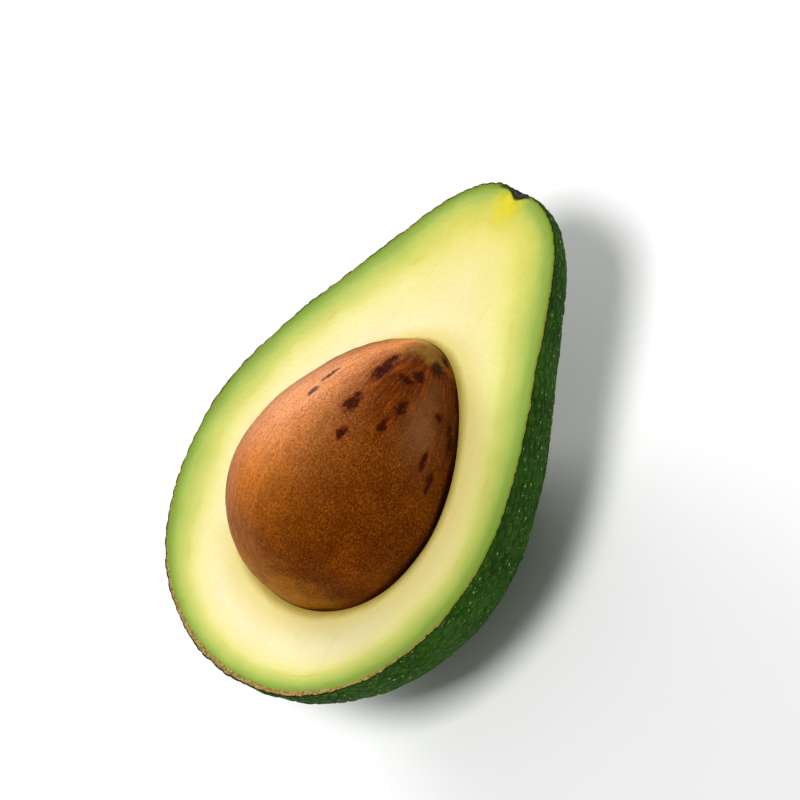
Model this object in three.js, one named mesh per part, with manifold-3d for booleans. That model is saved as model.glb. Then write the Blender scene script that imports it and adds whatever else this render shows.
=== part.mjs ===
// Half an avocado, cut lengthways, with its stone still in it. It lies on its back with the cut face up.
// Millimetres, +Z up. The fruit's length runs along Y, with the stem end at +Y, and its width along X.
// The origin is on the surface it lies on, below the middle of its length and width.
import * as THREE from "three";
import { mergeVertices } from "three/addons/utils/BufferGeometryUtils.js";
import Module from "manifold-3d";

const wasm = await Module();
wasm.setup();

// The fruit's outline. Half its width is a sum of sines of an angle that runs from 0 at the blossom end
// to a half turn at the stem end, and the first number is the size of the first sine, and so on.
const FRUIT = { start: 0, length: 106.4, waves: [34.1, 5.6, 0.1, -0.8, 0.6] };
const SKIN_THICKNESS = 1.2;
const FIT_GAP = 0.3; // between pieces that touch

// The stone, which is sunk to its middle in the flesh.
const SEED = { start: 17.5, length: 55.2, waves: [20.7, 2.3, -0.3] };
const SEED_SIDE_SHIFT = 1.3;

// The hollow that the stalk left in the stem end, and the corky scar that lines it.
const HOLLOW_DEPTH = 2.0;
const HOLLOW_RADIUS = 2.2;
const HOLLOW_SIDE_SHIFT = -0.8;
const SCAR_RADIUS = 2.0;
const SCAR_THICKNESS = 0.6;

// How far the back's fullest part is from the cut, and how far the spot that the half lies on is pressed in.
const BACK_DEPTH = 36.5;
const FLAT_PRESS = 1.6;
const FACE_HEIGHT = BACK_DEPTH - FLAT_PRESS;

// Pebbles on the skin: one corner of the mesh is raised where none beside it is.
const PEBBLE_HEIGHT = { least: 0.3, most: 0.65 };
const PEBBLE_FADE = 6; // from the flat spot, or the scar's edge, to where they have their full height
const PEBBLE_SEED = 20411;

// How many parts each edge of an icosahedron is split into.
const SPLITS = { outside: 27, inside: 15, stone: 11 };

const COLOURS = {
  skin: { color: 0x1f4a12, roughness: 0.38 },
  flesh: { color: 0xe6e08c, roughness: 0.5 },
  seed: { color: 0x7b3f14, roughness: 0.45 },
  stem_scar: { color: 0x3a2415, roughness: 0.9 },
};

// A repeatable random number from 0 to 1.
function randomFrom(state) {
  return () => {
    state = (Math.imul(state, 1664525) + 1013904223) >>> 0;
    return state / 2 ** 32;
  };
}

// The point of an outline at an angle, moved in along its normal by depth: its radius and its place along Y.
function outlinePoint({ start, length, waves }, angle, depth) {
  let radius = 0;
  let slope = 0;
  waves.forEach((size, i) => {
    radius += size * Math.sin((i + 1) * angle);
    slope += size * (i + 1) * Math.cos((i + 1) * angle);
  });
  const rise = (length / 2) * Math.sin(angle);
  const steep = Math.hypot(rise, slope);
  return {
    radius: radius - (depth * rise) / steep,
    y: start + (length / 2) * (1 - Math.cos(angle)) + (depth * slope) / steep,
  };
}

// A closed surface of an outline turned about Y, with its triangles spread evenly over it.
function turned(outline, splits, depth) {
  const ball = new THREE.IcosahedronGeometry(1, splits - 1);
  ball.deleteAttribute("normal");
  ball.deleteAttribute("uv");
  const surface = mergeVertices(ball, 1e-5);
  const points = surface.getAttribute("position");
  const way = new THREE.Vector3();
  for (let i = 0; i < points.count; i++) {
    way.fromBufferAttribute(points, i).normalize();
    const { radius, y } = outlinePoint(outline, Math.acos(-way.y), depth);
    const turn = Math.atan2(way.z, way.x);
    points.setXYZ(i, radius * Math.cos(turn), y, radius * Math.sin(turn));
  }
  return surface;
}

// From 0 on the flat spot and at the scar to 1 where the pebbles are whole.
function pebbleFade({ x, y, z }) {
  const aboveSpot = z + FACE_HEIGHT;
  const fromScar = Math.hypot(x - HOLLOW_SIDE_SHIFT, y - FRUIT.length, z) - SCAR_RADIUS;
  return THREE.MathUtils.smoothstep(Math.min(aboveSpot, fromScar), 0, PEBBLE_FADE);
}

// Raises single corners of a surface along its normals, never two that share an edge.
function addPebbles(surface) {
  surface.computeVertexNormals();
  const points = surface.getAttribute("position");
  const normals = surface.getAttribute("normal");
  const beside = Array.from({ length: points.count }, () => []);
  const corners = surface.index.array;
  for (let i = 0; i < corners.length; i += 3) {
    const face = [corners[i], corners[i + 1], corners[i + 2]];
    face.forEach((a, k) => beside[a].push(face[(k + 1) % 3], face[(k + 2) % 3]));
  }
  const random = randomFrom(PEBBLE_SEED);
  const order = Array.from({ length: points.count }, (_, i) => [random(), i]);
  order.sort((a, b) => a[0] - b[0]);
  const raised = new Set();
  const point = new THREE.Vector3();
  const normal = new THREE.Vector3();
  for (const [share, i] of order) {
    if (beside[i].some((j) => raised.has(j))) continue;
    raised.add(i);
    point.fromBufferAttribute(points, i);
    normal.fromBufferAttribute(normals, i);
    const height = THREE.MathUtils.lerp(PEBBLE_HEIGHT.least, PEBBLE_HEIGHT.most, share);
    point.addScaledVector(normal, height * pebbleFade(point));
    points.setXYZ(i, point.x, point.y, point.z);
  }
  surface.deleteAttribute("normal");
}

// Sinks the stem end's hollow into a surface, and presses its back flat.
function sinkAndPress(surface, depth) {
  const points = surface.getAttribute("position");
  for (let i = 0; i < points.count; i++) {
    const [x, y, z] = [points.getX(i), points.getY(i), points.getZ(i)];
    const fromStalk = Math.hypot(x - HOLLOW_SIDE_SHIFT, z) / HOLLOW_RADIUS;
    const sunk = y > FRUIT.length / 2 ? HOLLOW_DEPTH * Math.exp(-(fromStalk ** 2)) : 0;
    points.setXYZ(i, x, y - sunk, Math.max(z, depth - FACE_HEIGHT));
  }
}

// The whole fruit's surface at a depth under the skin's outside.
function fruitSurface(splits, depth, pebbled = false) {
  const surface = turned(FRUIT, splits, depth);
  if (pebbled) addPebbles(surface);
  sinkAndPress(surface, depth);
  return surface;
}

// The stone's surface, grown by a margin.
function seedSurface(margin) {
  return turned(SEED, SPLITS.stone, -margin).translate(SEED_SIDE_SHIFT, 0, 0);
}

function solidOf(geometry) {
  const plain = geometry.clone();
  plain.deleteAttribute("normal");
  plain.deleteAttribute("uv");
  const merged = mergeVertices(plain, 1e-4);
  const vertProperties = new Float32Array(merged.getAttribute("position").array);
  const triVerts = new Uint32Array(merged.index.array);
  return new wasm.Manifold(new wasm.Mesh({ numProp: 3, vertProperties, triVerts }));
}

function geometryOf(solid) {
  const { numProp, vertProperties, triVerts } = solid.getMesh();
  if (numProp !== 3) throw new Error("a solid should hold positions alone");
  const geometry = new THREE.BufferGeometry();
  geometry.setAttribute("position", new THREE.BufferAttribute(vertProperties, 3));
  geometry.setIndex(new THREE.BufferAttribute(triVerts, 1));
  geometry.computeVertexNormals();
  return geometry;
}

// Keeps what is below the cut face.
function halve(solid) {
  const size = 2 * FRUIT.length;
  const otherHalf = new THREE.BoxGeometry(size, 2 * size, size).translate(0, 0, size / 2);
  return solid.subtract(solidOf(otherHalf));
}

function makeSkin() {
  const outside = solidOf(fruitSurface(SPLITS.outside, 0, true));
  const inside = solidOf(fruitSurface(SPLITS.inside, SKIN_THICKNESS));
  return halve(outside).subtract(inside);
}

function makeFlesh() {
  const whole = solidOf(fruitSurface(SPLITS.inside, SKIN_THICKNESS + FIT_GAP));
  return halve(whole).subtract(solidOf(seedSurface(FIT_GAP)));
}

function makeSeed() {
  return solidOf(seedSurface(0));
}

// The scar follows the floor of the hollow, as a thin disc that the cut halved.
function makeStemScar() {
  const top = solidOf(fruitSurface(SPLITS.outside, -FIT_GAP - SCAR_THICKNESS));
  const floor = solidOf(fruitSurface(SPLITS.outside, -FIT_GAP));
  const reach = 4 * HOLLOW_DEPTH;
  const plug = new THREE.CylinderGeometry(SCAR_RADIUS, SCAR_RADIUS, reach, 24);
  plug.translate(HOLLOW_SIDE_SHIFT, FRUIT.length, 0);
  return halve(top.intersect(solidOf(plug)).subtract(floor));
}

function part(name, solid) {
  const mesh = new THREE.Mesh(geometryOf(solid), new THREE.MeshStandardMaterial({
    ...COLOURS[name],
    metalness: 0,
  }));
  mesh.name = name;
  return mesh;
}

const avocadoHalf = new THREE.Group();
avocadoHalf.add(
  part("skin", makeSkin()),
  part("flesh", makeFlesh()),
  part("seed", makeSeed()),
  part("stem_scar", makeStemScar()),
);
avocadoHalf.position.set(0, -FRUIT.length / 2, FACE_HEIGHT);

export default avocadoHalf;
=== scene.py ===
"""The looks of half an avocado that lies on its back: pebbled skin, cut flesh, stone and stem scar.

Shapes are worked out in millimetres from the middle of the fruit's cut face at its blossom end, with y along
the fruit, x across it and z out of the cut face. They become metres in the part's frame as meshes are
made."""
import itertools
import math

import bmesh
import bpy
import numpy as np
from mathutils import Matrix, Vector
from mathutils.kdtree import KDTree


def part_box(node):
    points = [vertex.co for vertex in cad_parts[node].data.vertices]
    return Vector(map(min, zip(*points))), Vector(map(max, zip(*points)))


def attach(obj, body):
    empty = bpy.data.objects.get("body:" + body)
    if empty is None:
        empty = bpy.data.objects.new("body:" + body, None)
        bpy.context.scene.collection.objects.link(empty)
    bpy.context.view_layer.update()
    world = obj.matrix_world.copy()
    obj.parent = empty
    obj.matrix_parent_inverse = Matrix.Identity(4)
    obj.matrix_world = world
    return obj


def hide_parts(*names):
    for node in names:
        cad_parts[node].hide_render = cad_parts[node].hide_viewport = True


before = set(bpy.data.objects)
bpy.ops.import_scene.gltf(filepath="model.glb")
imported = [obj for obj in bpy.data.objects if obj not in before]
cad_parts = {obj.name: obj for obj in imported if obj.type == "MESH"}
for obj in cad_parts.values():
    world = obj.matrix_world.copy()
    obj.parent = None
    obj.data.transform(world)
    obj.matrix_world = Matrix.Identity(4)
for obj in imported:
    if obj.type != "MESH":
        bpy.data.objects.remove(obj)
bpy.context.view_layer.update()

MM = 0.001
FACE_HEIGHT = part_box("skin")[1].z / MM

# The outlines, as in the part's source: half a width is a sum of sines of an angle that runs from 0 at the
# blossom end to a half turn at the stem end.
FRUIT = {"start": 0.0, "length": 106.4, "waves": (34.1, 5.6, 0.1, -0.8, 0.6)}
STONE = {"start": 17.5, "length": 55.2, "waves": (20.7, 2.3, -0.3)}
STONE_SHIFT = 1.3
HOLLOW = {"depth": 2.0, "radius": 2.2, "shift": -0.8}
NOTCH = {"depth": 1.5, "radius": 1.5, "shift": -0.8}  # the same hollow in the flesh, under the skin
SCAR = {"radius": 2.0, "thickness": 0.6, "gap": 0.12}
SKIN_THICKNESS = 1.2
SKIN_GAP = 0.012  # between the skin and the flesh at the cut
BACK_GAP = 0.15  # between them further down
STONE_GAP = {"least": 0.05, "more": 0.5}  # between the stone and the flesh, and what it grows by at +X
STONE_HALF_WIDTH = 21

# How finely each surface is divided. The skin and the flesh have equally many corners along the cut.
SKIN_ROWS, SKIN_COLUMNS, INSIDE_COLUMNS, RIM_ROWS = 320, 262, 20, 8
FACE_ROWS, BACK_ROWS, HOLE_ROWS = 84, 16, 24
STONE_ROWS, STONE_TOP_COLUMNS, STONE_BACK_COLUMNS = 290, 230, 40
SCAR_ROWS, SCAR_COLUMNS = 16, 60

# Relief, in millimetres.
PEBBLE_TRIES = 26000  # random places, of which those far enough apart are kept
PEBBLE_SPACE = 1.5
PEBBLE_STRETCH = 1.25  # along the fruit
PEBBLE_REACH = 1.25
PEBBLE_HEIGHT = 0.25
PEBBLE_SINK = 0.45  # how far the valleys lie under the smooth skin, as a share of the height
DOT_JITTER = 0.22  # how far the pale dots are off their pebbles' middles
SKIN_WAVES = 0.16
SKIN_GRAIN = 0.04
RIM_ROUND = 0.14
RIM_GRAIN = 0.03
FACE_WAVES = 0.07
FACE_GRAIN = 0.012
STONE_WAVES = 0.14
STONE_GRAIN = 0.02
STONE_FOLDS = {"everywhere": 0.03, "more_at_tip": 0.08}
STONE_DENTS = 0.125
FAR = 30.0  # what a distance is set to where nothing depends on it
SHARP_ANGLE = 1.0  # between faces, in radians, from which an edge is shaded as sharp

# The camera looks down on the cut face. Its place is where the photograph was taken from, seen from the half:
# turned about the fruit's length by VIEW_TILT, and rolled until the length leans as it does in the picture.
VIEW_TILT = math.radians(36.0)
LENGTH_LEAN = math.radians(58.15)
LENS = 200.0
SENSOR_WIDTH = 36.0
DISTANCE = 0.8317  # in metres, from the middle of the cut face
PICTURE = 800  # pixels each way
PIXEL_SPREAD = SENSOR_WIDTH / (LENS * PICTURE)  # how wide a pixel is, as a share of the distance
FACE_MIDDLE_PIXEL = (375.2, 431.6)


# Outlines

def outline_at(fruit, angles, depth=0.0):
    """An outline at each angle, moved in along its normal by depth: its radius, its place along y, and its
    normal's parts across and along."""
    order = np.arange(1, len(fruit["waves"]) + 1)
    waves = np.array(fruit["waves"])
    radius = np.sin(np.outer(angles, order)) @ waves
    slope = np.cos(np.outer(angles, order)) @ (waves * order)
    rise = fruit["length"] / 2 * np.sin(angles)
    steep = np.hypot(rise, slope)
    along = fruit["start"] + fruit["length"] / 2 * (1 - np.cos(angles))
    return radius - depth * rise / steep, along + depth * slope / steep, rise / steep, -slope / steep


def even_angles(fruit, count):
    """Angles that split an outline into stretches of one length."""
    fine = np.linspace(0, math.pi, 4001)
    radius, along, _, _ = outline_at(fruit, fine)
    run = np.concatenate(([0], np.cumsum(np.hypot(np.diff(radius), np.diff(along)))))
    return np.interp(np.linspace(0, run[-1], count + 1), run, fine)


def turned(fruit, angles, turns, depth=0.0):
    """The grid of points of an outline turned about y, and its grid of normals."""
    radius, along, across, onward = outline_at(fruit, angles, depth)
    ways = np.stack((np.cos(turns), np.zeros(len(turns)), np.sin(turns)), -1)
    length_way = np.array((0.0, 1.0, 0.0))
    points = radius[:, None, None] * ways + along[:, None, None] * length_way
    normals = across[:, None, None] * ways + onward[:, None, None] * length_way
    return points, normals


def sunk(points, hollow=HOLLOW):
    """Points of the fruit with the stem end's hollow sunk into them."""
    x, y, z = points[..., 0], points[..., 1], points[..., 2]
    from_stalk = ((x - hollow["shift"]) ** 2 + z ** 2) / hollow["radius"] ** 2
    drop = np.where(y > FRUIT["length"] / 2, hollow["depth"] * np.exp(-from_stalk), 0)
    return points - drop[..., None] * np.array((0.0, 1.0, 0.0))


def cut_loop(fruit, depth=0.0, shift=0.0, count=2000):
    """The closed outline of a cut face, as points (x, y, 0), anticlockwise from the blossom end."""
    angles = even_angles(fruit, count)
    radius, along, _, _ = outline_at(fruit, angles, depth)
    x = np.concatenate((radius, -radius[-2:0:-1])) + shift
    y = np.concatenate((along, along[-2:0:-1]))
    return np.stack((x, y, np.zeros(len(x))), -1)


def loop_at(loop, middle, bearings):
    """Where a closed loop lies in each direction from a point inside it."""
    arms = loop - middle
    own = np.arctan2(arms[:, 1], arms[:, 0])
    return np.stack([np.interp(bearings, own, loop[:, k], period=2 * math.pi) for k in range(3)], -1)


# Random relief

def ripple(points, size, seed, waves=24):
    """A smooth random height at each point, mostly from -1 to 1, in waves of about one size."""
    random = np.random.default_rng(seed)
    ways = random.normal(size=(waves, 3))
    ways *= (2 * math.pi / (size * random.uniform(0.7, 1.6, waves)) / np.linalg.norm(ways, axis=1))[:, None]
    phases = random.uniform(0, 2 * math.pi, waves)
    return np.sin(points @ ways.T + phases).sum(-1) / math.sqrt(2 * waves)


def spread_out(points, space):
    """Keeps each point that is at least a space away from all the points kept before it."""
    kept = {}
    for point in points.tolist():
        cell = tuple(math.floor(c / space) for c in point)
        around = itertools.product(*((c - 1, c, c + 1) for c in cell))
        if all(math.dist(point, other) >= space for key in around for other in kept.get(key, ())):
            kept.setdefault(cell, []).append(point)
    return np.array([point for cell in kept.values() for point in cell])


def smooth_step(value, low, high):
    share = np.clip((value - low) / (high - low), 0, 1)
    return share * share * (3 - 2 * share)


# Meshes

def grid_faces(index, turned_over=False):
    """Faces between the corners of a grid. Where corners of a face are one point, it has fewer sides."""
    corners = np.stack((index[:-1, :-1], index[:-1, 1:], index[1:, 1:], index[1:, :-1]), -1).reshape(-1, 4)
    if turned_over:
        corners = corners[:, ::-1]
    faces = [list(dict.fromkeys(face)) for face in corners.tolist()]
    return [face for face in faces if len(face) > 2]


def make_piece(name, points, faces, values=None):
    """A smooth closed mesh in the part's frame, with a named value, or three, for each of its points."""
    place = np.array((0.0, -FRUIT["length"] / 2, FACE_HEIGHT))
    mesh = bpy.data.meshes.new(name)
    mesh.from_pydata(((points + place) * MM).tolist(), [], faces)
    for key, value in (values or {}).items():
        kind, field = ("FLOAT_VECTOR", "vector") if np.ndim(value) == 2 else ("FLOAT", "value")
        mesh.attributes.new(key, kind, "POINT").data.foreach_set(field, np.ravel(value).astype(float))
    soup = bmesh.new()
    soup.from_mesh(mesh)
    bmesh.ops.recalc_face_normals(soup, faces=soup.faces)
    for edge in soup.edges:
        edge.smooth = edge.calc_face_angle(0.0) < SHARP_ANGLE
    soup.to_mesh(mesh)
    soup.free()
    mesh.polygons.foreach_set("use_smooth", [True] * len(mesh.polygons))
    piece = bpy.data.objects.new(name, mesh)
    bpy.context.scene.collection.objects.link(piece)
    return piece


def stands_for(piece, node, material):
    """Puts a piece in the place of a CAD node."""
    piece.data.materials.append(material)
    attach(piece, "root")
    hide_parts(node)


# Nodes of materials

def colour(red, green, blue):
    """A colour that is given as 0 to 255 on a screen, in Blender's linear values."""
    shares = [c / 255 for c in (red, green, blue)]
    return (*[c / 12.92 if c <= 0.04045 else ((c + 0.055) / 1.055) ** 2.4 for c in shares], 1.0)


class Shader:
    """A material and short ways of adding nodes to it. An input is a plain value or another node's output."""

    def __init__(self, name):
        self.material = bpy.data.materials.new(name)
        self.material.use_nodes = True
        self.tree = self.material.node_tree
        self.surface = self.tree.nodes["Principled BSDF"]
        self.place = self.add("TexCoord").outputs["Object"]

    def put(self, socket, value):
        if isinstance(value, bpy.types.NodeSocket):
            self.tree.links.new(value, socket)
        else:
            socket.default_value = value

    def add(self, kind, inputs=(), **settings):
        node = self.tree.nodes.new("ShaderNode" + kind)
        for key, value in settings.items():
            setattr(node, key, value)
        for key, value in dict(inputs).items():
            self.put(node.inputs[key], value)
        return node

    def value(self, name):
        return self.add("Attribute", attribute_name=name).outputs["Fac"]

    def vector(self, name):
        return self.add("Attribute", attribute_name=name).outputs["Vector"]

    def math(self, operation, a, b=0.0, c=0.0):
        return self.add("Math", {0: a, 1: b, 2: c}, operation=operation).outputs[0]

    def scaled(self, vector, by):
        return self.add("VectorMath", {0: vector, 1: by}, operation="MULTIPLY").outputs[0]

    def noise(self, size, detail=3.0, rough=0.55, at=None):
        """A random value from 0 to 1 whose spots are about a size in millimetres."""
        inputs = {"Vector": at or self.place, "Scale": 1 / (size * MM), "Detail": detail, "Roughness": rough}
        return self.add("TexNoise", inputs).outputs["Fac"]

    def step(self, value, low, high, start=0.0, end=1.0):
        inputs = {"Value": value, "From Min": low, "From Max": high, "To Min": start, "To Max": end}
        return self.add("MapRange", inputs, interpolation_type="SMOOTHSTEP").outputs[0]

    def mix(self, share, a, b, blend="MIX"):
        node = self.add("Mix", data_type="RGBA", blend_type=blend)
        for socket, value in zip((node.inputs[0], node.inputs[6], node.inputs[7]), (share, a, b)):
            self.put(socket, value)
        return node.outputs[2]

    def ramp(self, value, stops):
        """Colours at places from 0 to 1."""
        node = self.add("ValToRGB", {"Fac": value})
        elements = node.color_ramp.elements
        elements[0].position, elements[0].color = stops[0]
        elements[1].position, elements[1].color = stops[-1]
        for position, shade in stops[1:-1]:
            elements.new(position).color = shade
        return node.outputs["Color"]

    def bump(self, height, depth, under=None):
        """Relief of a depth in millimetres, on top of other relief."""
        inputs = {"Height": height, "Distance": depth * MM, "Strength": 1.0}
        if under:
            inputs["Normal"] = under
        return self.add("Bump", inputs).outputs["Normal"]

    def finish(self, **inputs):
        for key, value in inputs.items():
            self.put(self.surface.inputs[key.replace("_", " ")], value)
        return self.material


# Camera

def camera_axes():
    """The camera's right, up and backward directions in the part's frame."""
    back = Vector((math.sin(VIEW_TILT), 0, math.cos(VIEW_TILT)))
    length_way = Vector((0, 1, 0))
    across = length_way.cross(back)
    right = math.cos(LENGTH_LEAN) * length_way + math.sin(LENGTH_LEAN) * across
    return right, back.cross(right), back


def camera_place():
    """Where the camera is, in metres, so that the middle of the cut face is at its pixel."""
    right, up, back = camera_axes()
    off_middle = (PICTURE / 2 - FACE_MIDDLE_PIXEL[0], FACE_MIDDLE_PIXEL[1] - PICTURE / 2)
    aim = Vector((0, 0, FACE_HEIGHT * MM))
    aim += (right * off_middle[0] + up * off_middle[1]) * PIXEL_SPREAD * DISTANCE
    return aim + back * DISTANCE


def sight_line(pixel):
    """The camera's place in the outlines' millimetres, and the direction it sees a pixel in."""
    right, up, back = camera_axes()
    way = (right * (pixel[0] - PICTURE / 2) + up * (PICTURE / 2 - pixel[1])) * PIXEL_SPREAD - back
    place = camera_place() / MM - Vector((0, -FRUIT["length"] / 2, FACE_HEIGHT))
    return np.array(place), np.array(way.normalized())


def add_camera():
    camera = bpy.data.objects.new("camera", bpy.data.cameras.new("camera"))
    camera.data.lens = LENS
    camera.data.sensor_width = SENSOR_WIDTH
    camera.data.clip_start = 0.01
    camera.matrix_world = Matrix(camera_axes()).transposed().to_4x4()
    camera.location = camera_place()
    bpy.context.scene.collection.objects.link(camera)
    bpy.context.scene.camera = camera


# The cut's colours at depths in mm from the skin's outside. The skin's rim and the flesh share them.
CUT_COLOURS = (
    (0.0, (24, 42, 8)), (0.15, (40, 58, 14)), (0.3, (96, 118, 38)), (0.6, (124, 150, 52)),
    (1.1, (138, 165, 62)), (2.0, (156, 181, 74)), (3.0, (177, 194, 88)), (4.2, (196, 204, 100)),
    (5.4, (212, 213, 112)), (7.0, (230, 226, 138)), (8.8, (240, 232, 162)), (13.2, (244, 235, 184)),
)
DEEPEST = CUT_COLOURS[-1][0]


def cut_ramp(shader, depth):
    """The cut's colour at a depth in mm, yellower near the stalk."""
    stops = [(place / DEEPEST, colour(*shade)) for place, shade in CUT_COLOURS]
    base = shader.ramp(shader.math("DIVIDE", depth, DEEPEST), stops)
    tint = shader.step(shader.value("from_stalk"), 5.0, 30.0, 0.42, 0.0)
    tint = shader.math("MULTIPLY", tint, shader.step(depth, 0.8, 4.5))
    return shader.mix(tint, base, colour(226, 210, 70))


# Skin

def pebble_places():
    """Points spread over the skin, and a little past the cut, where its pebbles are."""
    random = np.random.default_rng(seed=71)
    radius, along, _, _ = outline_at(FRUIT, even_angles(FRUIT, 2000))
    rows = np.arange(len(radius))
    row = np.interp(random.random(PEBBLE_TRIES), np.cumsum(radius) / radius.sum(), rows)
    past_cut = 0.1
    turn = random.uniform(math.pi - past_cut, 2 * math.pi + past_cut, len(row))
    wide = np.interp(row, rows, radius)
    places = np.stack((wide * np.cos(turn), np.interp(row, rows, along), wide * np.sin(turn)), -1)
    return spread_out(places / (1, PEBBLE_STRETCH, 1), PEBBLE_SPACE)


def nearest_pebbles(points):
    """For each point, the way from the dot on the nearest pebble, how far that pebble is, how much further
    the next one is, and a random number of the nearest one."""
    places = pebble_places()
    tree = KDTree(len(places))
    for i, place in enumerate(places):
        tree.insert(place, i)
    tree.balance()
    tones = np.random.default_rng(seed=72).random(len(places))
    flat = points.reshape(-1, 3) / (1, PEBBLE_STRETCH, 1)
    found = [tree.find_n(point, 2) for point in flat]
    first = np.array([pair[0][1] for pair in found])
    near, far = np.array([(pair[0][2], pair[1][2]) for pair in found]).T
    jitter = np.random.default_rng(seed=73).normal(0, DOT_JITTER, places.shape)
    return flat - places[first] - jitter[first], near, far - near, tones[first]


def rim_tan(points):
    """How much of the skin's cut edge has dried to tan: most at the blossom end."""
    x, y = points[..., 0], points[..., 1]
    blossom = (1 - smooth_step(y, 12, 34)) * (0.55 + 0.45 * smooth_step(x, -30, -12))
    lowest = 1 - smooth_step(y, 3, 13)
    share = 0.14 + 0.34 * blossom + 0.32 * lowest + 0.1 * ripple(points, 11, seed=31)
    return np.clip(share, 0.04, 0.85)


def stalk_distance(points):
    """How far points are from the fibres that the stalk left in the flesh, in an oval."""
    return np.hypot(points[..., 0] + 1.6, (points[..., 1] - 102.4) / 1.25)


def skin_loop(index):
    """The numbers of a half grid's points round its cut edge."""
    return np.concatenate((index[:, 0], index[-2:0:-1, -1]))


def numbered(rows, columns, first):
    """Numbers for a grid of points whose first and last rows are one point each."""
    inner = first + 1 + np.arange((rows - 1) * (columns + 1)).reshape(rows - 1, columns + 1)
    start = np.full((1, columns + 1), first)
    end = np.full((1, columns + 1), first + 1 + inner.size)
    return np.concatenate((start, inner, end))


def ungrid(grid):
    """A grid's points as a list, with its first and last rows once each."""
    flat = grid[1:-1].reshape(-1, *grid.shape[2:])
    return np.concatenate((grid[:1, 0], flat, grid[-1:, 0]))


def build_skin():
    angles = even_angles(FRUIT, SKIN_ROWS)
    turns = np.linspace(math.pi, 2 * math.pi, SKIN_COLUMNS + 1)
    smooth, normals = turned(FRUIT, angles, turns)
    shape = smooth.shape[:2]
    way, near, border, tone = nearest_pebbles(smooth)
    near, border, tone = (v.reshape(shape) for v in (near, border, tone))
    dome = np.sqrt(np.clip(1 - (near / PEBBLE_REACH) ** 2, 0, 1)) * smooth_step(border, -0.1, 0.7)
    height = PEBBLE_HEIGHT * (dome * (0.55 + 0.6 * tone) - PEBBLE_SINK)
    height += SKIN_WAVES * ripple(smooth, 9, seed=32) + SKIN_GRAIN * ripple(smooth, 1.3, seed=33)
    outside = sunk(smooth + height[..., None] * normals)
    outside[..., 2] = -np.sqrt(outside[..., 2] ** 2 + RIM_ROUND ** 2)
    outside[..., 2] = np.maximum(outside[..., 2], -FACE_HEIGHT)

    inside_turns = np.linspace(math.pi, 2 * math.pi, INSIDE_COLUMNS + 1)
    inside, _ = turned(FRUIT, angles, inside_turns, SKIN_THICKNESS)
    inside = sunk(inside, NOTCH)
    inside[..., 2] = np.clip(inside[..., 2], SKIN_THICKNESS - FACE_HEIGHT, 0)

    out_index = numbered(SKIN_ROWS, SKIN_COLUMNS, 0)
    in_index = numbered(SKIN_ROWS, INSIDE_COLUMNS, out_index.max() + 1)
    points = np.concatenate((ungrid(outside), ungrid(inside)))
    outer_loop, inner_loop = skin_loop(out_index), skin_loop(in_index)

    share = (np.arange(1, RIM_ROWS) / RIM_ROWS)[:, None, None]
    rim = points[outer_loop] * (1 - share) + points[inner_loop] * share
    inward = share[..., 0]
    rim[..., 2] = RIM_GRAIN * ripple(rim, 1.6, seed=34) * np.sin(math.pi * inward)
    rim[..., 2] -= RIM_ROUND * (1 - inward) ** 6
    rim_index = len(points) + np.arange(rim[..., 0].size).reshape(rim.shape[:2])
    band = np.concatenate((outer_loop[None], rim_index, inner_loop[None]))
    band = np.concatenate((band, band[:, :1]), 1)

    points = np.concatenate((points, rim.reshape(-1, 3)))
    extra = len(points) - out_index.max() - 1
    cut = np.zeros(len(points))
    cut[band[:, :-1]] = np.linspace(0, 1, RIM_ROWS + 1)[:, None]
    values = {
        "pebble_way": np.concatenate((ungrid(way.reshape(*shape, 3)), np.full((extra, 3), FAR))),
        "pebble_near": np.concatenate((ungrid(near), np.full(extra, FAR))),
        "pebble_border": np.concatenate((ungrid(border), np.full(extra, 1.0))),
        "pebble_tone": np.concatenate((ungrid(tone), np.full(extra, 0.5))),
        "cut": cut,
        "tan": rim_tan(points),
        "from_stalk": stalk_distance(points),
    }
    faces = grid_faces(out_index) + grid_faces(in_index, True) + grid_faces(band)
    return make_piece("skin_peel", points, faces, values)


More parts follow.
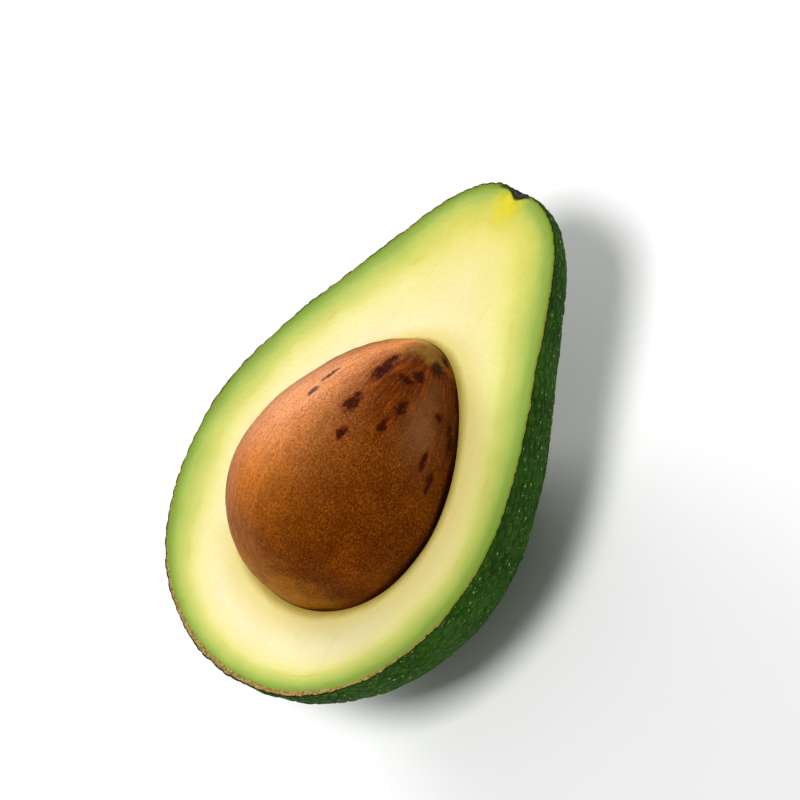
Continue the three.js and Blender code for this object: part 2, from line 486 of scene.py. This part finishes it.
def skin_material():
    s = Shader("skin")
    way, near, border, tone = (s.vector("pebble_way"), s.value("pebble_near"), s.value("pebble_border"),
                               s.value("pebble_tone"))
    broad = s.noise(11, 3)
    green = s.mix(s.step(broad, 0.35, 0.65), colour(34, 68, 6), colour(44, 86, 12))
    green = s.mix(s.step(s.noise(2.6, 4, 0.6), 0.45, 0.75, 0.0, 0.7), green, colour(64, 104, 24))
    # Painted shade: the valleys between the pebbles are darker green.
    valley_shade = s.step(border, 0.0, 0.5, 0.4, 0.0)
    green = s.mix(valley_shade, green, colour(22, 54, 4))
    speckle = s.add("TexVoronoi", {"Vector": s.place, "Scale": 1 / (1.15 * MM)}).outputs["Distance"]
    green = s.mix(s.step(speckle, 0.1, 0.2, 0.75, 0.0), green, colour(118, 150, 54))
    # Pale dots, each near the middle of a pebble, on some pebbles only.
    from_middle = s.add("VectorMath", {0: way}, operation="LENGTH").outputs["Value"]
    size = s.math("MULTIPLY_ADD", tone, 0.13, 0.06)
    dot = s.step(s.math("DIVIDE", from_middle, size), 0.7, 1.5, 1.0, 0.0)
    dot = s.math("MULTIPLY", dot, s.step(near, 0.45, 0.55, 1.0, 0.0))
    dot = s.math("MULTIPLY", dot, s.step(s.math("ADD", tone, broad), 0.65, 1.25))
    green = s.mix(dot, green, s.mix(tone, colour(112, 144, 50), colour(190, 208, 124)))

    # The cut edge: dark outside, tan where it has dried, and in the cut's own colours further in.
    cut = s.value("cut")
    tan_share = s.value("tan")
    speck = s.noise(0.45, 4, 0.7)
    wobble = s.math("MULTIPLY_ADD", s.noise(0.9, 3), 0.24, -0.12)
    across = s.math("ADD", cut, wobble)
    tan = s.mix(s.step(speck, 0.35, 0.7), colour(122, 92, 44), colour(196, 168, 104))
    dark_edge = s.step(across, 0.16, 0.3, 1.0, 0.0)
    inner = s.step(s.math("SUBTRACT", across, tan_share), 0.0, 0.3)
    rim = s.mix(inner, tan, cut_ramp(s, s.math("MULTIPLY", cut, SKIN_THICKNESS)))
    rim = s.mix(dark_edge, rim, colour(24, 42, 8))
    by_stalk = s.step(s.value("from_stalk"), 3.6, 5.0, 0.9, 0.0)
    by_stalk = s.math("MULTIPLY", by_stalk, s.step(cut, 0.55, 0.95, 1.0, 0.0))
    rim = s.mix(by_stalk, rim, colour(40, 46, 26))
    base = s.mix(s.step(cut, 0.02, 0.08), green, rim)

    rough = s.step(s.noise(1.5, 3), 0.3, 0.7, 0.28, 0.4)
    rough = s.mix(s.step(cut, 0.02, 0.1), rough, (0.6, 0.6, 0.6, 1))
    relief = s.bump(s.noise(0.35, 4, 0.6), 0.06)
    sheen = s.math("MULTIPLY", s.step(border, 0.2, 0.9, 0.05, 0.14), s.step(cut, 0.02, 0.08, 1.0, 0.0))
    return s.finish(Base_Color=base, Roughness=rough, Normal=relief, Specular_IOR_Level=0.0,
                    Coat_Weight=sheen, Coat_Roughness=0.26, Coat_IOR=1.4)


# Flesh

# The point of the cut face, in the stone, that bearings are taken from.
MIDDLE = np.array((STONE_SHIFT, 42.2, 0.0))


def stone_gap(bearings):
    """The gap between the flesh and the stone: widest at the stone's +X side."""
    return STONE_GAP["least"] + STONE_GAP["more"] * np.clip(np.cos(bearings), 0, 1)


def distance_to(loop, points):
    """How far each point is from the nearest point of a loop."""
    tree = KDTree(len(loop))
    for i, place in enumerate(loop):
        tree.insert(place, i)
    tree.balance()
    return np.array([tree.find(point)[2] for point in points.reshape(-1, 3)]).reshape(points.shape[:-1])


def below(fruit, flat, depth=0.0, shift=0.0):
    """Points of a cut face dropped onto the turned surface under them."""
    radius, along, _, _ = outline_at(fruit, even_angles(fruit, 2000), depth)
    wide = np.interp(flat[..., 1], along, radius)
    drop = np.sqrt(np.clip(wide ** 2 - (flat[..., 0] - shift) ** 2, 0, None))
    return np.stack((flat[..., 0], flat[..., 1], -drop), -1)


# How fast the cut's colour changes from the rim inwards, by the direction in degrees from MIDDLE.
COLOUR_PACE = ((-146, 0.8), (-113, 1.37), (-70, 1.75), (-29, 1.3), (12, 1.1), (60, 0.85), (78, 0.72),
               (105, 0.72), (129, 0.93), (177, 0.95))


def green_depth(face, from_skin):
    """How far in each point of the cut face is as its colour goes. The green edge is wider at +X."""
    bearings = np.degrees(np.arctan2(face[..., 1] - MIDDLE[1], face[..., 0] - MIDDLE[0]))
    ways, paces = zip(*COLOUR_PACE)
    right = smooth_step(face[..., 0], 4, 26) * (1 - smooth_step(face[..., 1], 83, 105))
    return from_skin * np.interp(bearings, ways, paces, period=360) - 0.4 * right


def build_flesh():
    depth = SKIN_THICKNESS + SKIN_GAP
    outer_edge = cut_loop(FRUIT, depth, count=SKIN_ROWS)
    arms = outer_edge - MIDDLE
    bearings = np.arctan2(arms[:, 1], arms[:, 0])
    stone_loop = cut_loop(STONE, 0.0, STONE_SHIFT)
    stone_edge = loop_at(stone_loop, MIDDLE, bearings)
    reach = np.linalg.norm(stone_edge - MIDDLE, axis=1)
    hole_edge = MIDDLE + (stone_edge - MIDDLE) * ((reach + stone_gap(bearings)) / reach)[:, None]

    even = np.linspace(0, 1, FACE_ROWS + 1)
    share = (0.45 * even + 0.55 * (0.5 - 0.5 * np.cos(math.pi * even)))[:, None, None]
    face = hole_edge * (1 - share) + sunk(outer_edge, NOTCH) * share
    from_wall = distance_to(sunk(cut_loop(FRUIT, depth), NOTCH), face)
    from_stone = distance_to(stone_loop, face)
    # The browning and painted shade beside the stone stay narrow on its -X side and are widest at +X.
    from_stone *= 1 + 1.6 * smooth_step(-face[..., 0], -8, 8) * smooth_step(face[..., 1], 20, 30)
    from_stalk = stalk_distance(face)
    roll = 0.1 + 0.4 * stone_gap(bearings)
    face[..., 2] = FACE_WAVES * ripple(face, 14, seed=41) * smooth_step(from_wall, 0, 2)
    face[..., 2] += FACE_GRAIN * ripple(face, 1.2, seed=42) * smooth_step(from_wall, 0, 0.6)
    face[..., 2] -= roll * np.exp(-np.linalg.norm(face - hole_edge, axis=-1) / 0.4)

    back_depth = SKIN_THICKNESS + BACK_GAP
    shrink = (1 - np.arange(1, BACK_ROWS) / BACK_ROWS) ** 0.5
    back_flat = MIDDLE + (outer_edge - MIDDLE) * shrink[:, None, None]
    back = sunk(below(FRUIT, back_flat, back_depth), NOTCH)
    back[..., 2] = np.maximum(back[..., 2], back_depth - FACE_HEIGHT)
    shrink = (1 - np.arange(1, HOLE_ROWS) / HOLE_ROWS) ** 0.5
    hole_flat = MIDDLE + (stone_edge - MIDDLE) * shrink[:, None, None]
    hole = below(STONE, hole_flat, 0.0, STONE_SHIFT)
    hole = MIDDLE + (hole - MIDDLE) * (1 + stone_gap(bearings)[:, None] / STONE_HALF_WIDTH)

    loops = np.concatenate((hole[::-1], face, back))
    floor_of_hole = (MIDDLE + (0, 0, hole[-1, :, 2].min()))[None]
    lowest = (MIDDLE + (0, 0, back_depth - FACE_HEIGHT))[None]
    points = np.concatenate((floor_of_hole, loops.reshape(-1, 3), lowest))
    index = 1 + np.arange(loops.shape[0] * loops.shape[1]).reshape(loops.shape[:2])
    index = np.concatenate((index, index[:, :1]), 1)
    ends = np.full((1, index.shape[1]), 0), np.full((1, index.shape[1]), len(points) - 1)
    index = np.concatenate((ends[0], index, ends[1]))
    before, after = 1 + hole[..., 0].size, back[..., 0].size + 1
    # Each value in the hollow, on the cut face and on the back.
    around = {
        "in_depth": (12.0, green_depth(face, from_wall), 0.0),
        "from_stone": (0.0, from_stone, FAR),
        "from_stalk": (FAR, from_stalk, FAR),
    }
    values = {name: np.concatenate((np.full(before, first), middle.ravel(), np.full(after, last)))
              for name, (first, middle, last) in around.items()}
    return make_piece("flesh_cut", points, grid_faces(index), values)


def flesh_material():
    s = Shader("flesh")
    in_depth, from_stone, from_stalk = s.value("in_depth"), s.value("from_stone"), s.value("from_stalk")
    # Noise that changes fast from the rim inwards and slowly along it, for streaks.
    x_y = s.scaled(s.place, (0.12, 0.12, 0.0))
    depth_way = s.add("CombineXYZ", {"Z": s.math("MULTIPLY", in_depth, MM)}).outputs[0]
    flow = s.add("VectorMath", {0: x_y, 1: depth_way}, operation="ADD").outputs[0]
    streaks = s.noise(0.9, 4, 0.6, at=flow)
    clouds = s.noise(9, 3)
    shifted = s.math("ADD", in_depth, s.math("MULTIPLY_ADD", streaks, 0.7, -0.35))
    shifted = s.math("ADD", shifted, s.math("MULTIPLY_ADD", clouds, 2.4, -1.2))
    shifted = s.math("MULTIPLY", shifted, s.step(in_depth, -0.6, 1.2))
    base = cut_ramp(s, s.math("ADD", shifted, SKIN_THICKNESS))
    # Fibres along the fruit in the pale middle, and a yellow vein that follows the rim.
    fibres = s.noise(0.8, 4, 0.6, at=s.scaled(s.place, (1.0, 0.09, 0.0)))
    fibres = s.math("MULTIPLY", s.step(fibres, 0.5, 0.75), s.step(in_depth, 4.0, 9.0, 0.0, 0.25))
    base = s.mix(fibres, base, colour(230, 210, 120))
    vein = s.step(s.math("ABSOLUTE", s.math("SUBTRACT", shifted, 4.4)), 0.1, 0.7, 1.0, 0.0)
    vein = s.math("MULTIPLY", vein, s.step(s.noise(7, 2), 0.45, 0.7))
    base = s.mix(s.math("MULTIPLY", vein, 0.4), base, colour(208, 190, 70))
    # The stalk's yellow patch; by the stone, a brownish edge, partly browning and partly painted shade.
    stalk = s.math("ADD", from_stalk, s.math("MULTIPLY_ADD", s.noise(1.4, 3), 3.6, -1.8))
    base = s.mix(s.step(stalk, 0.0, 5.0, 0.9, 0.0), base, colour(232, 212, 2))
    base = s.mix(s.step(from_stone, 0.8, 9.0, 0.6, 0.0), base, colour(218, 196, 76))
    stone_browning_and_shade = s.step(s.math("ADD", from_stone, s.math("MULTIPLY", streaks, 0.9)), 0.8, 3.0, 0.9, 0.0)
    base = s.mix(stone_browning_and_shade, base, colour(170, 144, 48))
    relief = s.bump(s.noise(0.5, 5, 0.6), 0.05)
    relief = s.bump(streaks, 0.03, relief)
    rough = s.step(s.noise(2.5, 4), 0.3, 0.7, 0.38, 0.55)
    return s.finish(Base_Color=base, Roughness=rough, Normal=relief, Subsurface_Weight=0.3,
                    Subsurface_Radius=(1.0, 0.8, 0.3), Subsurface_Scale=1.2 * MM, Specular_IOR_Level=0.3)


# Stone

# Dark blotches: the photograph's pixel where each has its middle, and its length and width in mm.
BLOTCHES = (
    ((384, 369), 5.5, 1.9), ((392, 360), 3.5, 1.4), ((407, 380), 1.7, 3.4), ((419, 377), 2.6, 2.2),
    ((438, 370), 3.4, 2.6), ((446, 362), 2.6, 1.5), ((352, 403), 3.7, 2.3), ((358, 395), 2.0, 1.2),
    ((401, 408), 4.0, 1.8), ((382, 427), 3.6, 1.4), ((341, 432), 2.5, 1.6), ((313, 390), 2.4, 1.1),
    ((330, 374), 3.5, 1.0), ((439, 418), 1.8, 1.4), ((449, 430), 2.8, 1.5), ((450, 445), 4.2, 1.6),
    ((423, 462), 4.2, 1.2), ((430, 480), 3.0, 1.7), ((427, 489), 1.9, 1.1),
)
SIGHT_STEPS = 6000  # points on a line of sight, of which the first in the stone is taken
# Where the stone's lit flank gets a pale painted sheen, and where a painted grey reflection lies beside its
# tip.
SHEEN_TURN = math.radians(108.4)
REFLECTION_SPOT = {"turn": math.radians(31), "turn_reach": 0.25, "y": 59, "y_reach": 7}
HIDDEN_TURN = math.radians(160)  # the part of the stone's surface that lies well inside the flesh


def stone_turns():
    """Turns about the stone's length, close together over its top and wide apart on its hidden side."""
    first = (HIDDEN_TURN - math.pi) / 2
    last = math.pi - first
    top = np.linspace(first, last, STONE_TOP_COLUMNS, endpoint=False)
    under = np.linspace(last, last + HIDDEN_TURN, STONE_BACK_COLUMNS, endpoint=False)
    return np.concatenate((top, under))


def turn_and_radius(points):
    """Each point's turn about the stone's length, from +X, and how far it is from the line it turns about."""
    across = points[:, 0] - STONE_SHIFT
    return np.arctan2(points[:, 2], across), np.hypot(points[:, 2], across)


def build_stone():
    angles = even_angles(STONE, STONE_ROWS)
    points, normals = turned(STONE, angles, stone_turns())
    tip = smooth_step(points[..., 1], 50, 72)
    height = STONE_GRAIN * ripple(points, 0.9, seed=51) + STONE_WAVES * ripple(points, 11, seed=52)
    folds = ripple(points / (1, 6, 1), 2.4, seed=53) * (1 - smooth_step(points[..., 1], 69, 73))
    height += (STONE_FOLDS["everywhere"] + STONE_FOLDS["more_at_tip"] * tip) * folds
    shaped = points + height[..., None] * normals + (STONE_SHIFT, 0, 0)
    columns = points.shape[1]
    inner = 1 + np.arange((STONE_ROWS - 1) * columns).reshape(STONE_ROWS - 1, columns)
    index = np.concatenate((np.full((1, columns), 0), inner, np.full((1, columns), inner.max() + 1)))
    index = np.concatenate((index, index[:, :1]), 1)

    flat = ungrid(shaped)
    stain = blotches_at(flat)
    flat = flat - STONE_DENTS * stain[:, None] * ungrid(normals)
    turn, _ = turn_and_radius(flat)
    bearing = np.arctan2(flat[:, 1] - MIDDLE[1], flat[:, 0] - MIDDLE[0])
    shaded = np.clip(1.5 * np.cos(bearing - math.radians(10)) - 0.5, 0, 1)
    # The fibres' noise changes fast round the stone and slowly along it.
    round_way = np.stack((-12 * np.cos(turn), 0.12 * flat[:, 1], 12 * np.sin(turn)), -1)
    # Painted light: a paler lit flank stands for a sheen, and a greyish spot by the tip for a reflection.
    sheen_reach = 0.54 - 0.18 * smooth_step(flat[:, 1], 48, 64)
    painted_sheen = np.exp(-((turn - SHEEN_TURN) / sheen_reach) ** 2) * smooth_step(flat[:, 1], 12, 42)
    reflection_round = (turn - REFLECTION_SPOT["turn"]) / REFLECTION_SPOT["turn_reach"]
    reflection_along = (flat[:, 1] - REFLECTION_SPOT["y"]) / REFLECTION_SPOT["y_reach"]
    values = {
        "stain": stain,
        "along": (flat[:, 1] - STONE["start"]) / STONE["length"],
        "painted_sheen": painted_sheen,
        "shade": shaded * (1 - smooth_step(flat[:, 2], 0.1, 1.2)),
        "round_way": round_way * MM,
        "painted_reflection": np.exp(-reflection_round ** 2 - reflection_along ** 2),
    }
    return make_piece("seed_stone", flat, grid_faces(index), values)


def seen_on_stone(pixel):
    """Where the photograph shows the stone at a pixel: how far along y that is, its turn and its radius."""
    place, way = sight_line(pixel)
    ahead = DISTANCE / MM + np.linspace(-STONE["length"], STONE["length"], SIGHT_STEPS)
    points = place + ahead[:, None] * way
    turn, radius = turn_and_radius(points)
    radii, along, _, _ = outline_at(STONE, even_angles(STONE, 2000))
    inside = radius < np.interp(points[:, 1], along, radii)
    if not inside.any():
        raise ValueError(f"the stone isn't seen at {pixel}")
    first = np.argmax(inside)
    return points[first, 1], turn[first], radius[first]


def blotches_at(points):
    """How deep in a dark blotch each point of the stone is, from 0 to 1."""
    turn, radius = turn_and_radius(points)
    stain = np.zeros(len(points))
    for pixel, length, width in BLOTCHES:
        own_y, own_turn, own_radius = seen_on_stone(pixel)
        along = np.hypot(points[:, 1] - own_y, radius - own_radius) / (length / 2)
        across = own_radius * (turn - own_turn) / (width / 2)
        stain = np.maximum(stain, np.exp(-0.7 * (along ** 2 + across ** 2)))
    return stain


def stone_material():
    s = Shader("stone")
    along, stain = s.value("along"), s.value("stain")
    stretched = s.scaled(s.place, (1.0, 0.5, 1.0))
    grain = s.noise(0.26, 4, 0.65, at=stretched)
    fibres = s.noise(0.5, 4, 0.6, at=s.vector("round_way"))
    broad = s.noise(9, 4)
    brown = s.ramp(broad, [(0.3, colour(98, 42, 4)), (0.5, colour(120, 58, 4)), (0.7, colour(140, 70, 8))])
    brown = s.mix(s.step(s.noise(5, 3, 0.6), 0.5, 0.75, 0.0, 0.45), brown, colour(92, 30, 6))
    brown = s.mix(s.step(grain, 0.34, 0.58, 0.85, 0.0), brown, colour(58, 20, 2))
    brown = s.mix(s.step(grain, 0.52, 0.7, 0.0, 0.55), brown, colour(186, 104, 18))
    # Fibres towards the tip.
    to_tip = s.step(along, 0.55, 0.95)
    dark_fibres = s.math("MULTIPLY", to_tip, s.step(fibres, 0.42, 0.6, 0.75, 0.0))
    brown = s.mix(dark_fibres, brown, colour(88, 28, 10))
    red_fibres = s.math("MULTIPLY", to_tip, s.step(fibres, 0.48, 0.66, 0.0, 0.42))
    brown = s.mix(red_fibres, brown, colour(190, 80, 22))
    # The darker lower half, the amber blossom end and the tan tip.
    low = s.math("MULTIPLY", s.step(along, 0.3, 0.6, 0.4, 0.0), s.step(s.noise(6, 3), 0.35, 0.65))
    brown = s.mix(low, brown, colour(70, 24, 3))
    amber = s.mix(s.step(grain, 0.36, 0.6, 0.7, 0.0), colour(190, 120, 6), colour(104, 48, 6))
    ragged_along = s.math("ADD", along, s.math("MULTIPLY_ADD", s.noise(4, 3), 0.16, -0.08))
    brown = s.mix(s.step(ragged_along, 0.0, 0.14, 0.85, 0.0), brown, amber)
    brown = s.mix(s.step(ragged_along, 0.92, 0.99), brown, colour(160, 118, 46))
    # The painted sheen on the lit flank and the painted grey reflection beside the tip.
    painted_sheen = s.math("MULTIPLY", s.value("painted_sheen"), s.step(fibres, 0.35, 0.65, 0.64, 0.88))
    pale = s.mix(s.step(along, 0.25, 0.7), colour(222, 130, 42), colour(246, 158, 90))
    pale = s.mix(s.step(grain, 0.36, 0.6, 0.62, 0.0), pale, colour(138, 66, 16))
    brown = s.mix(painted_sheen, brown, pale)
    painted_reflection = s.math("MULTIPLY", s.value("painted_reflection"), s.step(broad, 0.35, 0.6, 0.25, 0.55))
    brown = s.mix(painted_reflection, brown, colour(150, 104, 64))
    # Blotches with ragged edges, and painted shade on the stone just above the cut, on its +X side by the
    # gap.
    ragged = s.math("MULTIPLY_ADD", s.noise(0.7, 5, 0.7, at=stretched), 2.6, -1.3)
    edge = s.math("ADD", stain, s.math("MULTIPLY", ragged, s.step(stain, 0.05, 0.5)))
    brown = s.mix(s.step(edge, 0.12, 0.5, 0.0, 0.75), brown, colour(98, 36, 10))
    brown = s.mix(s.step(edge, 0.34, 0.76, 0.0, 0.85), brown, colour(44, 13, 5))
    brown = s.mix(s.math("MULTIPLY", s.value("shade"), 0.85), brown, colour(26, 12, 3))
    relief = s.bump(grain, 0.07)
    relief = s.bump(s.noise(1.2, 3), 0.1, relief)
    rough = s.step(s.noise(1.5, 4), 0.3, 0.7, 0.4, 0.52)
    return s.finish(Base_Color=brown, Roughness=rough, Normal=relief, Specular_IOR_Level=0.08,
                    Specular_Tint=colour(255, 140, 50))


# Stem scar

def build_scar():
    """A rough half disc of cork on the floor of the stem end's hollow."""
    rings = np.linspace(0, 1, SCAR_ROWS + 1)[1:]
    turns = np.linspace(math.pi, 2 * math.pi, SCAR_COLUMNS + 1)
    wide = SCAR["radius"] * rings[:, None]
    flat = np.stack((wide * np.cos(turns) + HOLLOW["shift"], np.zeros((SCAR_ROWS, len(turns))),
                     wide * np.sin(turns)), -1)
    stem_end = even_angles(FRUIT, 4000)[2400:]
    radius, along, _, _ = outline_at(FRUIT, stem_end)
    from_axis = np.hypot(flat[..., 0], flat[..., 2])
    flat[..., 1] = np.interp(-from_axis, -radius, along)
    floor = sunk(flat)
    floor[..., 1] += SCAR["gap"]
    rough = 0.35 * ripple(flat, 1.1, seed=61) + 0.15 * ripple(flat, 0.5, seed=62)
    top = floor.copy()
    top[..., 1] += SCAR["thickness"] * (1.1 + rough) * (1 - 0.6 * rings[:, None] ** 4)
    middles = np.array([(HOLLOW["shift"], side[0, :, 1].mean(), 0) for side in (floor, top)])
    points = np.concatenate((middles, floor.reshape(-1, 3), top.reshape(-1, 3)))
    columns = len(turns)
    low = 2 + np.arange(SCAR_ROWS * columns).reshape(SCAR_ROWS, columns)
    high = low + SCAR_ROWS * columns
    faces = grid_faces(np.concatenate((np.full((1, columns), 0), low)))
    faces += grid_faces(np.concatenate((np.full((1, columns), 1), high)), True)
    faces += grid_faces(np.stack((low[-1], high[-1])))
    cut_low = np.concatenate((low[::-1, 0], [0], low[:, -1]))
    cut_high = np.concatenate((high[::-1, 0], [1], high[:, -1]))
    faces += grid_faces(np.stack((cut_low, cut_high)), True)
    return make_piece("scar_cork", points, faces)


def scar_material():
    s = Shader("scar")
    crumbs = s.noise(0.4, 5, 0.7)
    brown = s.ramp(crumbs, [(0.3, colour(14, 12, 6)), (0.55, colour(40, 32, 16)), (0.8, colour(104, 84, 50))])
    return s.finish(Base_Color=brown, Roughness=0.85, Normal=s.bump(crumbs, 0.3))


# Floor and lights

def add_floor():
    reach = 3.0
    corners = [(-reach, -reach, 0), (reach, -reach, 0), (reach, reach, 0), (-reach, reach, 0)]
    mesh = bpy.data.meshes.new("floor")
    mesh.from_pydata(corners, [], [(0, 1, 2, 3)])
    floor = bpy.data.objects.new("floor", mesh)
    bpy.context.scene.collection.objects.link(floor)
    s = Shader("floor")
    floor.data.materials.append(s.finish(Base_Color=(0.96, 0.96, 0.96, 1.0), Roughness=0.9))


def add_light(name, way, distance, size, power):
    """A square soft light that faces the fruit."""
    lamp = bpy.data.lights.new(name, "AREA")
    lamp.size = size
    lamp.energy = power
    light = bpy.data.objects.new(name, lamp)
    towards = Vector(way).normalized()
    light.location = towards * distance + Vector((0, 0, FACE_HEIGHT * MM))
    light.rotation_euler = towards.to_track_quat("Z", "Y").to_euler()
    bpy.context.scene.collection.objects.link(light)


def add_surroundings(strength):
    world = bpy.data.worlds.new("room")
    world.use_nodes = True
    world.node_tree.nodes["Background"].inputs["Color"].default_value = (1, 1, 1, 1)
    world.node_tree.nodes["Background"].inputs["Strength"].default_value = strength
    bpy.context.scene.world = world


add_camera()
stands_for(build_skin(), "skin", skin_material())
stands_for(build_flesh(), "flesh", flesh_material())
stands_for(build_stone(), "seed", stone_material())
stands_for(build_scar(), "stem_scar", scar_material())
add_floor()
add_light("key", way=(0.17, -0.14, 0.98), distance=1.2, size=0.34, power=10.6)
add_light("side", way=(-0.92, 0.25, 0.16), distance=1.6, size=0.8, power=34.0)
add_surroundings(0.22)
bpy.context.scene.view_settings.view_transform = "Standard"
